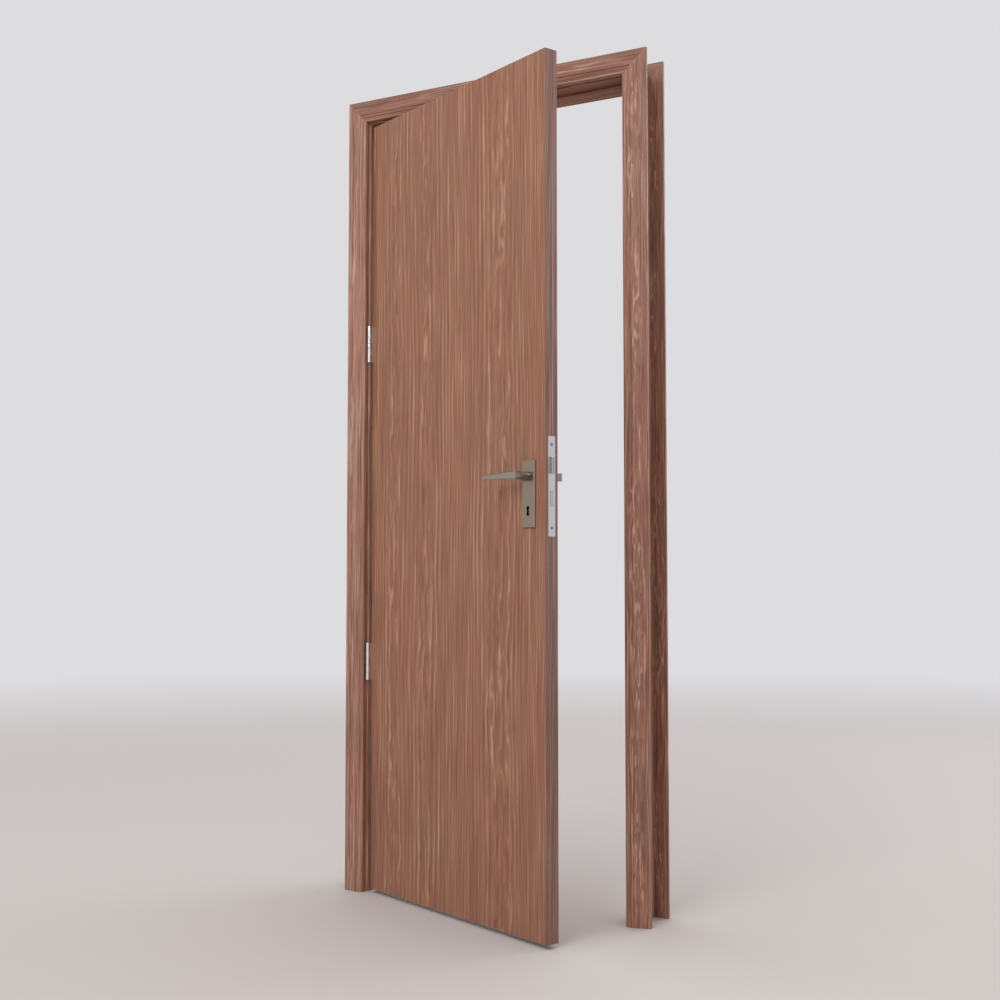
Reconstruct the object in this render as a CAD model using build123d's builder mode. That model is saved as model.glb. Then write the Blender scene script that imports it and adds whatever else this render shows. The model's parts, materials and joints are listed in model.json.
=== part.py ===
from build123d import *
from math import cos, radians, sin
import os

os.makedirs("parts", exist_ok=True)

# Frame of the part: +X along the wall from the hinge side to the lock side, +Y into the wall,
# +Z up. The origin is on the back face of the hinge jamb, at floor level, half way through the wall.
# The leaf stands ajar, as it is usually seen. Lengths are in millimetres.

# Door leaf
leaf_width = 707.0
leaf_height = 1978.0
leaf_thickness = 35.0
panel_thickness = 4.0
lipping_width = 6.0
undercut = 10.0
leaf_arris = 1.5
side_gap = 6.5
top_gap = 11.0
ajar_degrees = 23.7

# Frame lining
jamb_thickness = 30.0
jamb_depth = 100.0
stop_thickness = 8.0
stop_gap = 5.0
stop_arris = 2.0

# Moulded casing, measured from its inner edge and out from the wall
casing_reveal = 6.0
casing_head_reveal = 3.0
casing_width = 59.0
casing_crest = 16.0
casing_inner_radius = 2.5
casing_groove_from_inside = 11.0
casing_groove_pitch = 8.0
casing_groove_width = 4.0
casing_groove_depth = 1.5
casing_crest_from_inside = 24.0
casing_bead_width = 15.0
casing_bead_height = 1.0
casing_outer_rise = 10.0
casing_outer_radius = 3.0

# Butt hinges
hinge_length = 93.0
hinge_from_end = 577.0
hinge_knuckles = 5
knuckle_gap = 0.4
barrel_radius = 5.0
pin_radius = 2.5
pin_running_gap = 0.05
pin_head_height = 2.0
pin_projection = 8.5
hinge_plate_reach = 26.0
hinge_swing_gap = 0.5

# Mortise lock
lever_height = 1030.0
backset = 55.0
key_distance = 72.0
case_height = 165.0
case_thickness = 15.0
case_behind_axis = 30.0
case_gap = 1.0
forend_height = 222.0
forend_width = 20.0
forend_thickness = 3.0
forend_below_lever = 25.0
latch_height = 36.0
latch_width = 14.0
latch_throw = 10.0
latch_length = 48.0
latch_above_lever = 21.5
latch_flat = 2.0
bolt_height = 33.0
bolt_width = 9.0
bolt_length = 52.0
bolt_proud = 0.8
bolt_below_lever = 52.0
bolt_gap = 0.3

# Strike plate in the lock jamb, with a lip that meets the latch
strike_width = 24.0
strike_thickness = 2.0
strike_clearance = 1.5
strike_lip_height = 47.0
strike_pocket_depth = 22.0

# Lever furniture
plate_width = 40.0
plate_above_lever = 35.0
plate_below_lever = 115.0
plate_thickness = 6.0
plate_bevel = 0.6
keyhole_radius = 5.0
keyhole_waist = 5.5
keyhole_height = 22.0
keyhole_skirt = 10.0
neck_radius = 9.25
neck_running_gap = 0.3
spindle_side = 8.0
spindle_gap = 0.05
spindle_reach = 24.0
spindle_swing_gap = 0.6
lever_projection = 52.5
lever_neck_length = 15.5
lever_arm_length = 109.0
lever_root_depth = 10.0
lever_tip_height = 9.8
lever_tip_depth = 6.0
lever_chamfer = 2.0

# Worked out from the sizes above
front_y = -jamb_depth / 2
back_y = jamb_depth / 2
hinge_face_x = jamb_thickness
latch_face_x = hinge_face_x + leaf_width + 2 * side_gap
soffit_z = undercut + leaf_height + top_gap
lock_center_z = lever_height - forend_below_lever
keyhole_z = lever_height - key_distance
latch_z = lever_height + latch_above_lever
bolt_z = lever_height - bolt_below_lever
lever_s = leaf_width - backset
leaf_middle = leaf_thickness / 2
hinge_plate_thickness = barrel_radius - side_gap / 2
hinge_centers = {
    "lower": undercut + hinge_from_end,
    "upper": undercut + leaf_height - hinge_from_end,
}
pin_x = hinge_face_x + side_gap / 2
pin_y = front_y - pin_projection

# Directions of the leaf as it stands ajar: along runs from the hinges to the lock, and out leaves
# the face that carries the hinge barrels
ajar = radians(ajar_degrees)
along = Vector(cos(ajar), -sin(ajar), 0)
out = Vector(-sin(ajar), -cos(ajar), 0)
leaf_corner = Vector(pin_x, pin_y, 0) + along * (side_gap / 2) - out * pin_projection


def face_plane(s, z, rise=0.0):
    """Plane on the leaf's front face: x along the leaf, y up, normal out of the face."""
    origin = leaf_corner + along * s + out * rise + Vector(0, 0, z)
    return Plane(origin=origin, x_dir=along, z_dir=out)


def edge_plane(s, z):
    """Plane across the leaf: x from the front face to the back one, y up, normal to the lock side."""
    origin = leaf_corner + along * s + Vector(0, 0, z)
    return Plane(origin=origin, x_dir=-out, z_dir=along)


def plan_plane(z):
    """Level plane: x along the leaf, y from its front face to its back one."""
    return Plane(origin=leaf_corner + Vector(0, 0, z), x_dir=along, z_dir=(0, 0, 1))


def finish(part, name):
    """Label a finished piece and write its file."""
    part.label = name
    export_step(part, f"parts/{name}.step")


leaf_mid_plane = face_plane(0, 0, -leaf_middle)

# Frame lining: two jambs with a head between them
jamb_height = soffit_z + jamb_thickness
strike_height = forend_height
pocket_y = front_y + leaf_middle
strike_lip_width = leaf_middle
strike_lip_y = front_y + strike_lip_width / 2

with BuildPart() as hinge_jamb:
    with BuildSketch(Plane.XY):
        with Locations((jamb_thickness / 2, 0)):
            Rectangle(jamb_thickness, jamb_depth)
    extrude(amount=jamb_height)
    for center_z in hinge_centers.values():
        with BuildSketch(Plane.YZ.offset(hinge_face_x)):
            with Locations((front_y + hinge_plate_reach / 2, center_z)):
                Rectangle(hinge_plate_reach, hinge_length)
        extrude(amount=-hinge_plate_thickness, mode=Mode.SUBTRACT)
finish(hinge_jamb.part, "hinge_jamb")

with BuildPart() as latch_jamb:
    with BuildSketch(Plane.XY):
        with Locations((latch_face_x + jamb_thickness / 2, 0)):
            Rectangle(jamb_thickness, jamb_depth)
    extrude(amount=jamb_height)
    with BuildSketch(Plane.YZ.offset(latch_face_x)):
        with Locations((pocket_y, lock_center_z)):
            Rectangle(strike_width, strike_height)
        with Locations((strike_lip_y, latch_z)):
            Rectangle(strike_lip_width, strike_lip_height)
    extrude(amount=strike_thickness, mode=Mode.SUBTRACT)
    with BuildSketch(Plane.YZ.offset(latch_face_x)):
        with Locations((pocket_y, latch_z)):
            Rectangle(latch_width + 2 * strike_clearance, latch_height + 2 * strike_clearance)
        with Locations((pocket_y, bolt_z)):
            Rectangle(bolt_width + 2 * strike_clearance, bolt_height + 2 * strike_clearance)
    extrude(amount=strike_pocket_depth, mode=Mode.SUBTRACT)
finish(latch_jamb.part, "latch_jamb")

with BuildPart() as head_jamb:
    with BuildSketch(Plane.YZ.offset(hinge_face_x)):
        with Locations((0, soffit_z + jamb_thickness / 2)):
            Rectangle(jamb_depth, jamb_thickness)
    extrude(amount=latch_face_x - hinge_face_x)
finish(head_jamb.part, "head_jamb")

# Stops on the lining, from behind the closed leaf to the back of the frame
stop_front_y = front_y + leaf_thickness + stop_gap
stop_width = back_y - stop_front_y
stop_center_y = stop_front_y + stop_width / 2
side_stop_height = soffit_z - stop_thickness

for name, center_x, free_x in (
    ("hinge_stop", hinge_face_x + stop_thickness / 2, hinge_face_x + stop_thickness),
    ("latch_stop", latch_face_x - stop_thickness / 2, latch_face_x - stop_thickness),
):
    with BuildPart() as side_stop:
        with BuildSketch(Plane.XY):
            with Locations((center_x, stop_center_y)):
                Rectangle(stop_thickness, stop_width)
        extrude(amount=side_stop_height)
        free_face = side_stop.faces().filter_by_position(Axis.X, free_x, free_x)
        fillet(free_face.edges().filter_by(Axis.Z), radius=stop_arris)
    finish(side_stop.part, name)

with BuildPart() as head_stop:
    with BuildSketch(Plane.YZ.offset(hinge_face_x)):
        with Locations((stop_center_y, soffit_z - stop_thickness / 2)):
            Rectangle(stop_width, stop_thickness)
    extrude(amount=latch_face_x - hinge_face_x)
    low_face = head_stop.faces().sort_by(Axis.Z)[0]
    fillet(low_face.edges().filter_by(Axis.X), radius=stop_arris)
finish(head_stop.part, "head_stop")

# Moulded casings round both faces of the opening, mitred at the top corners
casing_left_x = hinge_face_x - casing_reveal
casing_right_x = latch_face_x + casing_reveal
casing_low_z = soffit_z + casing_head_reveal
casing_top_z = casing_low_z + casing_width
casing_bead_start = casing_width - casing_bead_width
casing_bead_low = casing_outer_rise - casing_bead_height
casing_second_groove = casing_groove_from_inside + casing_groove_pitch


# Section of the casing: x from the inner edge outwards, y out from the wall
with BuildSketch() as casing_section:
    with BuildLine():
        Polyline(
            (casing_width, casing_outer_rise - casing_outer_radius),
            (casing_width, 0),
            (0, 0),
            (0, casing_crest - casing_inner_radius),
        )
        RadiusArc(
            (0, casing_crest - casing_inner_radius),
            (casing_inner_radius, casing_crest),
            casing_inner_radius,
        )
        Polyline(
            (casing_inner_radius, casing_crest),
            (casing_groove_from_inside - casing_groove_width / 2, casing_crest),
            (casing_groove_from_inside, casing_crest - casing_groove_depth),
            (casing_groove_from_inside + casing_groove_width / 2, casing_crest),
            (casing_second_groove - casing_groove_width / 2, casing_crest),
            (casing_second_groove, casing_crest - casing_groove_depth),
            (casing_second_groove + casing_groove_width / 2, casing_crest),
            (casing_crest_from_inside, casing_crest),
            (casing_bead_start, casing_bead_low),
            (casing_bead_start, casing_outer_rise),
            (casing_width - casing_outer_radius, casing_outer_rise),
        )
        RadiusArc(
            (casing_width - casing_outer_radius, casing_outer_rise),
            (casing_width, casing_outer_rise - casing_outer_radius),
            casing_outer_radius,
        )
    make_face()

left_mitre = Plane(origin=(casing_left_x, 0, casing_low_z), z_dir=(1, 0, 1))
right_mitre = Plane(origin=(casing_right_x, 0, casing_low_z), z_dir=(-1, 0, 1))

for side, wall_y, facing in (("front", front_y, -1), ("back", back_y, 1)):
    for name, edge_x, outward, mitre in (
        ("hinge", casing_left_x, -1, left_mitre),
        ("latch", casing_right_x, 1, right_mitre),
    ):
        up = outward * facing
        with BuildPart() as side_casing:
            section = Plane(origin=(edge_x, wall_y, 0), x_dir=(outward, 0, 0), z_dir=(0, 0, up))
            with BuildSketch(section):
                add(casing_section.sketch)
            extrude(amount=up * casing_top_z)
            split(bisect_by=mitre, keep=Keep.BOTTOM)
        finish(side_casing.part, f"{side}_{name}_casing")
    with BuildPart() as head_casing:
        start_x = casing_left_x - casing_width
        run = casing_right_x + casing_width - start_x
        section = Plane(
            origin=(start_x, wall_y, casing_low_z), x_dir=(0, 0, 1), z_dir=(-facing, 0, 0)
        )
        with BuildSketch(section):
            add(casing_section.sketch)
        extrude(amount=-facing * run)
        split(bisect_by=left_mitre, keep=Keep.TOP)
        split(bisect_by=right_mitre, keep=Keep.TOP)
    finish(head_casing.part, f"{side}_head_casing")

# Strike plate, let in flush with the face of the lock jamb
with BuildPart() as strike_plate:
    with BuildSketch(Plane.YZ.offset(latch_face_x)):
        with Locations((pocket_y, lock_center_z)):
            Rectangle(strike_width, strike_height)
        with Locations((strike_lip_y, latch_z)):
            Rectangle(strike_lip_width, strike_lip_height)
        with Locations((pocket_y, latch_z)):
            Rectangle(
                latch_width + 2 * strike_clearance,
                latch_height + 2 * strike_clearance,
                mode=Mode.SUBTRACT,
            )
        with Locations((pocket_y, bolt_z)):
            Rectangle(
                bolt_width + 2 * strike_clearance,
                bolt_height + 2 * strike_clearance,
                mode=Mode.SUBTRACT,
            )
    extrude(amount=strike_thickness)
finish(strike_plate.part, "strike_plate")

# Leaf: a core between two face panels, inside lippings on the four edges
inner_width = leaf_width - 2 * lipping_width
inner_height = leaf_height - 2 * lipping_width
leaf_center_z = undercut + leaf_height / 2
core_thickness = leaf_thickness - 2 * panel_thickness
case_depth = backset + case_behind_axis - forend_thickness
case_start = leaf_width - forend_thickness - case_depth
spindle_hole = spindle_side * 2**0.5 / 2 + spindle_swing_gap


# Keyhole on its round centre: a round head, a narrow waist and a flared foot
keyhole_foot = keyhole_radius - keyhole_height
with BuildSketch() as keyhole:
    Circle(keyhole_radius)
    with BuildLine():
        Polyline(
            (-keyhole_waist / 2, 0),
            (-keyhole_skirt / 2, keyhole_foot),
            (keyhole_skirt / 2, keyhole_foot),
            (keyhole_waist / 2, 0),
            close=True,
        )
    make_face()

with BuildPart() as leaf_core:
    with BuildSketch(face_plane(leaf_width / 2, leaf_center_z, -panel_thickness)):
        Rectangle(inner_width, inner_height)
    extrude(amount=-core_thickness)
    with BuildSketch(edge_plane(leaf_width - lipping_width, lock_center_z)):
        with Locations((leaf_middle, 0)):
            Rectangle(case_thickness + 2 * case_gap, case_height + 2 * case_gap)
    extrude(amount=-(leaf_width - lipping_width - case_start + case_gap), mode=Mode.SUBTRACT)
    with BuildSketch(face_plane(lever_s, lever_height)):
        Circle(spindle_hole)
    extrude(amount=-leaf_thickness, mode=Mode.SUBTRACT)
    with BuildSketch(face_plane(lever_s, keyhole_z)):
        add(keyhole.sketch)
    extrude(amount=-leaf_thickness, mode=Mode.SUBTRACT)
finish(leaf_core.part, "leaf_core")

for name, rise in (("front_panel", 0.0), ("back_panel", panel_thickness - leaf_thickness)):
    with BuildPart() as panel:
        with BuildSketch(face_plane(leaf_width / 2, leaf_center_z, rise)):
            Rectangle(inner_width, inner_height)
        extrude(amount=-panel_thickness)
        with BuildSketch(face_plane(lever_s, lever_height, rise)):
            Circle(spindle_hole)
        with BuildSketch(face_plane(lever_s, keyhole_z, rise)):
            add(keyhole.sketch)
        extrude(amount=-panel_thickness, mode=Mode.SUBTRACT)
    finish(panel.part, name)

with BuildPart() as hinge_lipping:
    with BuildSketch(plan_plane(undercut)):
        with Locations((lipping_width / 2, leaf_middle)):
            Rectangle(lipping_width, leaf_thickness)
    extrude(amount=leaf_height)
    hinge_side = hinge_lipping.faces().sort_by(Axis(leaf_corner, along))[0]
    fillet(hinge_side.edges().filter_by(Axis.Z), radius=leaf_arris)
    for center_z in hinge_centers.values():
        with BuildSketch(edge_plane(0, center_z)):
            with Locations((hinge_plate_reach / 2, 0)):
                Rectangle(hinge_plate_reach, hinge_length)
        extrude(amount=hinge_plate_thickness, mode=Mode.SUBTRACT)
finish(hinge_lipping.part, "hinge_lipping")

with BuildPart() as lock_lipping:
    with BuildSketch(plan_plane(undercut)):
        with Locations((leaf_width - lipping_width / 2, leaf_middle)):
            Rectangle(lipping_width, leaf_thickness)
    extrude(amount=leaf_height)
    lock_side = lock_lipping.faces().sort_by(Axis(leaf_corner, along))[-1]
    fillet(lock_side.edges().filter_by(Axis.Z), radius=leaf_arris)
    with BuildSketch(edge_plane(leaf_width, lock_center_z)):
        with Locations((leaf_middle, 0)):
            Rectangle(forend_width, forend_height)
    extrude(amount=-forend_thickness, mode=Mode.SUBTRACT)
    with BuildSketch(edge_plane(leaf_width, lock_center_z)):
        with Locations((leaf_middle, 0)):
            Rectangle(case_thickness + 2 * case_gap, case_height + 2 * case_gap)
    extrude(amount=-lipping_width, mode=Mode.SUBTRACT)
finish(lock_lipping.part, "lock_lipping")

for name, low_z in (
    ("bottom_lipping", undercut),
    ("top_lipping", undercut + leaf_height - lipping_width),
):
    with BuildPart() as end_lipping:
        with BuildSketch(plan_plane(low_z)):
            with Locations((leaf_width / 2, leaf_middle)):
                Rectangle(inner_width, leaf_thickness)
        extrude(amount=lipping_width)
    finish(end_lipping.part, name)

# Butt hinges: interleaved knuckles on a loose pin, one plate on the jamb and one on the leaf
knuckle_height = (hinge_length - (hinge_knuckles - 1) * knuckle_gap) / hinge_knuckles
knuckle_pitch = knuckle_height + knuckle_gap
pin_axis = Vector(pin_x, pin_y, 0)


def hinge_half(level, first_knuckle, plate_plane, plate_sign):
    """One half of a hinge: its knuckles, and a plate from the barrel into the gap.

    plate_plane has its origin on the pin, x across the gap and y towards the back of the door.
    """
    low_z = hinge_centers[level] - hinge_length / 2
    own = range(first_knuckle, hinge_knuckles, 2)
    other = range(1 - first_knuckle, hinge_knuckles, 2)
    plate_reach = pin_projection + hinge_plate_reach
    with BuildPart() as half:
        with BuildSketch(plate_plane.offset(low_z)):
            with Locations(
                (plate_sign * (barrel_radius - hinge_plate_thickness / 2), plate_reach / 2)
            ):
                Rectangle(hinge_plate_thickness, plate_reach)
        extrude(amount=hinge_length)
        for index in other:
            cut_low = low_z + index * knuckle_pitch - knuckle_gap
            with BuildSketch(plate_plane.offset(cut_low)):
                Circle(barrel_radius + hinge_swing_gap)
            extrude(amount=knuckle_height + 2 * knuckle_gap, mode=Mode.SUBTRACT)
        for index in own:
            with BuildSketch(plate_plane.offset(low_z + index * knuckle_pitch)):
                Circle(barrel_radius)
            extrude(amount=knuckle_height)
        with BuildSketch(plate_plane.offset(low_z)):
            Circle(pin_radius + pin_running_gap)
        extrude(amount=hinge_length, mode=Mode.SUBTRACT)
    return half.part


for level in hinge_centers:
    jamb_side = Plane(origin=pin_axis, x_dir=(1, 0, 0), z_dir=(0, 0, 1))
    leaf_side = Plane(origin=pin_axis, x_dir=along, z_dir=(0, 0, 1))
    finish(hinge_half(level, 0, jamb_side, -1), f"{level}_hinge_jamb_plate")
    finish(hinge_half(level, 1, leaf_side, 1), f"{level}_hinge_leaf_plate")
    with BuildPart() as hinge_pin:
        low_z = hinge_centers[level] - hinge_length / 2
        with BuildSketch(jamb_side.offset(low_z)):
            Circle(pin_radius)
        extrude(amount=hinge_length)
        with BuildSketch(jamb_side.offset(low_z + hinge_length)):
            Circle(barrel_radius)
        extrude(amount=pin_head_height)
    finish(hinge_pin.part, f"{level}_hinge_pin")

# Lock: a case in the mortise behind the forend, with a sprung latch and a key-driven bolt
latch_start = leaf_width - latch_length + latch_throw
bolt_start = leaf_width - bolt_length

with BuildPart() as lock_case:
    with BuildSketch(edge_plane(case_start, lock_center_z)):
        with Locations((leaf_middle, 0)):
            Rectangle(case_thickness, case_height)
    extrude(amount=case_depth)
    with BuildSketch(edge_plane(leaf_width, latch_z)):
        with Locations((leaf_middle, 0)):
            Rectangle(latch_width + 2 * bolt_gap, latch_height + 2 * bolt_gap)
    extrude(amount=-(latch_length + bolt_gap), mode=Mode.SUBTRACT)
    with BuildSketch(edge_plane(leaf_width, bolt_z)):
        with Locations((leaf_middle, 0)):
            Rectangle(bolt_width + 2 * bolt_gap, bolt_height + 2 * bolt_gap)
    extrude(amount=-(bolt_length + bolt_gap), mode=Mode.SUBTRACT)
    with BuildSketch(face_plane(lever_s, lever_height)):
        Circle(spindle_hole)
    with BuildSketch(face_plane(lever_s, keyhole_z)):
        add(keyhole.sketch)
    extrude(amount=-leaf_thickness, mode=Mode.SUBTRACT)
finish(lock_case.part, "lock_case")

with BuildPart() as forend:
    with BuildSketch(edge_plane(leaf_width, lock_center_z)):
        with Locations((leaf_middle, 0)):
            Rectangle(forend_width, forend_height)
        with Locations((leaf_middle, latch_z - lock_center_z)):
            Rectangle(
                latch_width + 2 * bolt_gap, latch_height + 2 * bolt_gap, mode=Mode.SUBTRACT
            )
        with Locations((leaf_middle, bolt_z - lock_center_z)):
            Rectangle(bolt_width + 2 * bolt_gap, bolt_height + 2 * bolt_gap, mode=Mode.SUBTRACT)
    extrude(amount=-forend_thickness)
finish(forend.part, "forend")

latch_front = leaf_middle - latch_width / 2
latch_back = leaf_middle + latch_width / 2
latch_tip = leaf_width + latch_throw

with BuildPart() as latch_bolt:
    with BuildSketch(plan_plane(latch_z - latch_height / 2)):
        with BuildLine():
            Polyline(
                (latch_start, latch_front),
                (latch_tip, latch_front),
                (latch_tip, latch_front + latch_flat),
                (leaf_width, latch_back),
                (latch_start, latch_back),
                close=True,
            )
        make_face()
    extrude(amount=latch_height)
finish(latch_bolt.part, "latch_bolt")

with BuildPart() as dead_bolt:
    with BuildSketch(edge_plane(bolt_start, bolt_z)):
        with Locations((leaf_middle, 0)):
            Rectangle(bolt_width, bolt_height)
    extrude(amount=bolt_length + bolt_proud)
finish(dead_bolt.part, "dead_bolt")

# Furniture: a long backplate and a lever on each face, on one square spindle
plate_height = plate_above_lever + plate_below_lever
plate_center_z = lever_height + (plate_above_lever - plate_below_lever) / 2

with BuildPart() as front_backplate:
    with BuildSketch(face_plane(lever_s, plate_center_z)):
        Rectangle(plate_width, plate_height)
    extrude(amount=plate_thickness)
    outer_face = front_backplate.faces().sort_by(Axis(leaf_corner, out))[-1]
    chamfer(outer_face.edges(), length=plate_bevel)
    with BuildSketch(face_plane(lever_s, lever_height)):
        Circle(neck_radius + neck_running_gap)
    with BuildSketch(face_plane(lever_s, keyhole_z)):
        add(keyhole.sketch)
    extrude(amount=plate_thickness, mode=Mode.SUBTRACT)
finish(front_backplate.part, "front_backplate")

with BuildPart() as back_backplate:
    mirror(front_backplate.part, about=leaf_mid_plane)
finish(back_backplate.part, "back_backplate")

# The lever's round neck blends into the heel of an arm that narrows towards its tip, and a slab
# with bevelled edges makes the front of the arm
neck_end = plate_thickness + lever_neck_length
arm_front = lever_projection - lever_chamfer
tip_s = lever_s - lever_arm_length
heel_half = neck_radius
tip_half = lever_tip_height / 2
taper = (heel_half - tip_half) / (neck_radius + lever_arm_length)
middle_half = heel_half - taper * neck_radius
root_half = middle_half - taper * neck_radius

with BuildPart() as front_lever:
    with BuildSketch(face_plane(lever_s, lever_height)):
        Circle(neck_radius)
    extrude(amount=neck_end)
    with BuildSketch(face_plane(lever_s, lever_height, neck_end)):
        Circle(neck_radius)
    with BuildSketch(face_plane(lever_s, lever_height, arm_front)):
        with BuildLine():
            Polyline(
                (neck_radius, -heel_half),
                (neck_radius, heel_half),
                (-neck_radius, root_half),
                (-neck_radius, -root_half),
                close=True,
            )
        make_face()
    loft()
    with BuildSketch(edge_plane(lever_s, lever_height)):
        with Locations((lever_root_depth / 2 - arm_front, 0)):
            Rectangle(lever_root_depth, 2 * middle_half)
    with BuildSketch(edge_plane(tip_s, lever_height)):
        with Locations((lever_tip_depth / 2 - arm_front, 0)):
            Rectangle(lever_tip_depth, lever_tip_height)
    loft()
    with BuildSketch(face_plane(lever_s, lever_height, arm_front)):
        with BuildLine():
            Polyline(
                (neck_radius, -heel_half),
                (neck_radius, heel_half),
                (-lever_arm_length, tip_half),
                (-lever_arm_length, -tip_half),
                close=True,
            )
        make_face()
    extrude(amount=lever_chamfer, taper=45)
    with BuildSketch(face_plane(lever_s, lever_height)):
        Rectangle(spindle_side + 2 * spindle_gap, spindle_side + 2 * spindle_gap)
    extrude(amount=spindle_reach + spindle_gap, mode=Mode.SUBTRACT)
finish(front_lever.part, "front_lever")

with BuildPart() as back_lever:
    mirror(front_lever.part, about=leaf_mid_plane)
finish(back_lever.part, "back_lever")

with BuildPart() as spindle:
    with BuildSketch(face_plane(lever_s, lever_height, spindle_reach)):
        Rectangle(spindle_side, spindle_side)
    extrude(amount=-(leaf_thickness + 2 * spindle_reach))
finish(spindle.part, "spindle")
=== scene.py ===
import json
import math

import bmesh
import bpy
from mathutils import Matrix, Vector


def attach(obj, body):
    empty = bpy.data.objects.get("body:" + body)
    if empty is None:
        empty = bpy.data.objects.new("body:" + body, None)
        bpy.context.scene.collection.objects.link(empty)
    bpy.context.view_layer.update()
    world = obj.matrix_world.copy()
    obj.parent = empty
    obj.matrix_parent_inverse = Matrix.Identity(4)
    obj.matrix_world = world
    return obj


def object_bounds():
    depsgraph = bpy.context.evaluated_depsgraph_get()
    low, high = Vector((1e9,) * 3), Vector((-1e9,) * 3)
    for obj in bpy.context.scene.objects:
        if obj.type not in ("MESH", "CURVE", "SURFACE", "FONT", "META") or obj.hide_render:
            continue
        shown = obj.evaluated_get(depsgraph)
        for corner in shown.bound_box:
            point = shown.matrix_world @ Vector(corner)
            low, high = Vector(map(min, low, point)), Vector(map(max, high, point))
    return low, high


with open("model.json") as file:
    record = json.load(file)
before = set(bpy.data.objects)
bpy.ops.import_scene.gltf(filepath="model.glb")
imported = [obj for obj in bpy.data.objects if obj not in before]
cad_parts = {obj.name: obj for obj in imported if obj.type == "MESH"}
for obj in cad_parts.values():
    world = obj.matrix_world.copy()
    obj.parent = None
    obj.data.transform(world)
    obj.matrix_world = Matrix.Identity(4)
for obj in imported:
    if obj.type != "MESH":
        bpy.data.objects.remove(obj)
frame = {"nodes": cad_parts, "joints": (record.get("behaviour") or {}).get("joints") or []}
cad_low, cad_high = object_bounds()

# Everything below is in metres in the frame of the part, unless a name ends in _mm.
MM = 0.001
UP = Vector((0, 0, 1))
RIGHT = Vector((1, 0, 0))
INWARD = Vector((0, 1, 0))

# The leaf stands ajar by the angle that its hinge still has to close.
hinge = next(joint for joint in frame["joints"] if joint["name"] == "leaf_hinge")
ajar = math.radians(-hinge["range_deg"][0])
ALONG = Vector((math.cos(ajar), -math.sin(ajar), 0))
OUT = Vector((-math.sin(ajar), -math.cos(ajar), 0))


def extent(node, axis):
    """Lowest and highest distance of a node's points along an axis."""
    places = [axis.dot(vertex.co) for vertex in frame["nodes"][node].data.vertices]
    return min(places), max(places)


leaf_hinge_s = extent("hinge_lipping", ALONG)[0]
leaf_lock_s = extent("lock_lipping", ALONG)[1]
leaf_back, leaf_front = extent("lock_lipping", OUT)
leaf_low = extent("lock_lipping", UP)[0]
leaf_middle = (leaf_front + leaf_back) / 2

# Node trees


def put(tree, socket, value):
    """Link a socket to another one, or set its value."""
    if isinstance(value, bpy.types.NodeSocket):
        tree.links.new(value, socket)
    else:
        socket.default_value = value


def calc(tree, operation, *values):
    """Result of a math node."""
    node = tree.nodes.new("ShaderNodeMath")
    node.operation = operation
    for socket, value in zip(node.inputs, values):
        put(tree, socket, value)
    return node.outputs[0]


def remap(tree, value, low, high, to_low=0.0, to_high=1.0):
    """Map a value from one range to another, held at the ends."""
    node = tree.nodes.new("ShaderNodeMapRange")
    node.interpolation_type = "SMOOTHSTEP"
    for socket, number in zip(node.inputs, (value, low, high, to_low, to_high)):
        put(tree, socket, number)
    return node.outputs[0]


def distance(tree, point, axis, start):
    """How far the shaded point lies along an axis past a start, in millimetres."""
    node = tree.nodes.new("ShaderNodeVectorMath")
    node.operation = "DOT_PRODUCT"
    put(tree, node.inputs[0], point)
    node.inputs[1].default_value = axis / MM
    return calc(tree, "SUBTRACT", node.outputs["Value"], start / MM)


def noise(tree, x, y, z=0.0, detail=2.0):
    """Noise over three coordinates that are already in units of its own grain size."""
    place = tree.nodes.new("ShaderNodeCombineXYZ")
    for socket, value in zip(place.inputs, (x, y, z)):
        put(tree, socket, value)
    node = tree.nodes.new("ShaderNodeTexNoise")
    node.inputs["Scale"].default_value = 1.0
    node.inputs["Detail"].default_value = detail
    put(tree, node.inputs["Vector"], place.outputs[0])
    return node.outputs["Fac"]


def ramp(tree, factor, *stops):
    """Colour ramp from (position, colour) stops."""
    node = tree.nodes.new("ShaderNodeValToRGB")
    elements = node.color_ramp.elements
    elements[0].position = stops[0][0]
    elements[-1].position = stops[-1][0]
    for position, _ in stops[1:-1]:
        elements.new(position)
    for element, (_, colour) in zip(elements, stops):
        element.color = colour
    put(tree, node.inputs[0], factor)
    return node.outputs[0]


def blend_colour(tree, kind, factor, first, second):
    """Blend the second colour into the first; kind is the blend type."""
    node = tree.nodes.new("ShaderNodeMix")
    node.data_type = "RGBA"
    node.blend_type = kind
    put(tree, node.inputs[0], factor)
    put(tree, node.inputs[6], first)
    put(tree, node.inputs[7], second)
    return node.outputs[2]


def bump(tree, shader, height, depth_mm):
    """Raise the surface by a height from 0 to 1, of a depth in millimetres."""
    node = tree.nodes.new("ShaderNodeBump")
    node.inputs["Distance"].default_value = depth_mm * MM
    put(tree, node.inputs["Height"], height)
    tree.links.new(node.outputs[0], shader.inputs["Normal"])


# A face counts as looking along an axis as its squareness goes from the first of these to the second
SQUARE = (0.80, 0.95)
NOT_ROUNDED = (0.80, 0.97)
NEARLY_TRUE = (0.95, 0.99)


def facing(tree, axis):
    """How squarely the surface faces along an axis, either way, from 0 to 1."""
    node = tree.nodes.new("ShaderNodeVectorMath")
    node.operation = "DOT_PRODUCT"
    put(tree, node.inputs[0], tree.nodes.new("ShaderNodeTexCoord").outputs["Normal"])
    node.inputs[1].default_value = axis
    return calc(tree, "ABSOLUTE", node.outputs["Value"])


def srgb(red, green, blue):
    """Linear colour of an sRGB colour given from 0 to 255."""

    def linear(value):
        value /= 255
        return value / 12.92 if value <= 0.04045 else ((value + 0.055) / 1.055) ** 2.4

    return (linear(red), linear(green), linear(blue), 1.0)


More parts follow.
